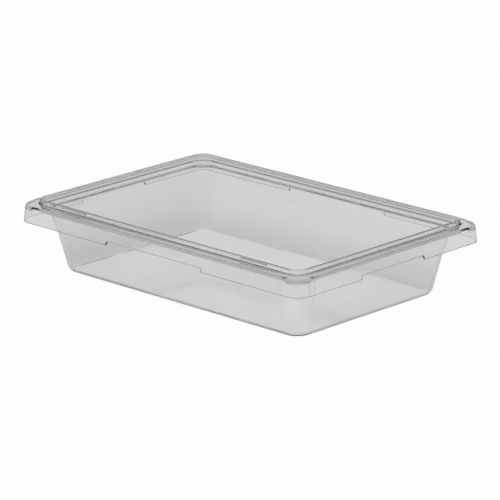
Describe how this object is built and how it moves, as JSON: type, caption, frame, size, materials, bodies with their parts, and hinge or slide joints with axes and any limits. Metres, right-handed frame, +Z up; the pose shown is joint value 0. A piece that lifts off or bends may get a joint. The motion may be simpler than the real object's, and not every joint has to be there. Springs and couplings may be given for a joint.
{
  "type": "deli food pan",
  "caption": "Clear rectangular food storage pan with sloping walls, a raised lid bead on a flat ledge and a turned-down skirt to lift it by.",
  "frame": {"origin": "centre of the underside, on the surface the pan stands on", "axes": "+X along the long side, +Y along the short side, +Z up"},
  "size_m": [0.457, 0.307, 0.088],
  "materials": {
    "clear_plastic": "clear, polished, lightly scratched by use"
  },
  "bodies": {
    "root": {"floor_panel": "clear_plastic", "floor_radius_right": "clear_plastic", "floor_radius_back": "clear_plastic", "floor_radius_left": "clear_plastic", "floor_radius_front": "clear_plastic", "floor_radius_corner_back_right": "clear_plastic", "floor_radius_corner_back_left": "clear_plastic", "floor_radius_corner_front_left": "clear_plastic", "floor_radius_corner_front_right": "clear_plastic", "wall_right": "clear_plastic", "wall_back": "clear_plastic", "wall_left": "clear_plastic", "wall_front": "clear_plastic", "wall_corner_back_right": "clear_plastic", "wall_corner_back_left": "clear_plastic", "wall_corner_front_left": "clear_plastic", "wall_corner_front_right": "clear_plastic", "inner_shoulder": "clear_plastic", "rim_collar": "clear_plastic", "rim_ledge_right": "clear_plastic", "rim_ledge_back": "clear_plastic", "rim_ledge_left": "clear_plastic", "rim_ledge_front": "clear_plastic", "rim_ledge_corner_back_right": "clear_plastic", "rim_ledge_corner_back_left": "clear_plastic", "rim_ledge_corner_front_left": "clear_plastic", "rim_ledge_corner_front_right": "clear_plastic", "lid_bead_right": "clear_plastic", "lid_bead_back": "clear_plastic", "lid_bead_left": "clear_plastic", "lid_bead_front": "clear_plastic", "lid_bead_corner_back_right": "clear_plastic", "lid_bead_corner_back_left": "clear_plastic", "lid_bead_corner_front_left": "clear_plastic", "lid_bead_corner_front_right": "clear_plastic", "lid_snap_lug_back_left": "clear_plastic", "lid_snap_lug_back_right": "clear_plastic", "lid_snap_lug_front_left": "clear_plastic", "lid_snap_lug_front_right": "clear_plastic", "skirt_right": "clear_plastic", "skirt_back": "clear_plastic", "skirt_left": "clear_plastic", "skirt_front": "clear_plastic", "skirt_corner_back_right": "clear_plastic", "skirt_corner_back_left": "clear_plastic", "skirt_corner_front_left": "clear_plastic", "skirt_corner_front_right": "clear_plastic"}
  },
  "joints": []
}
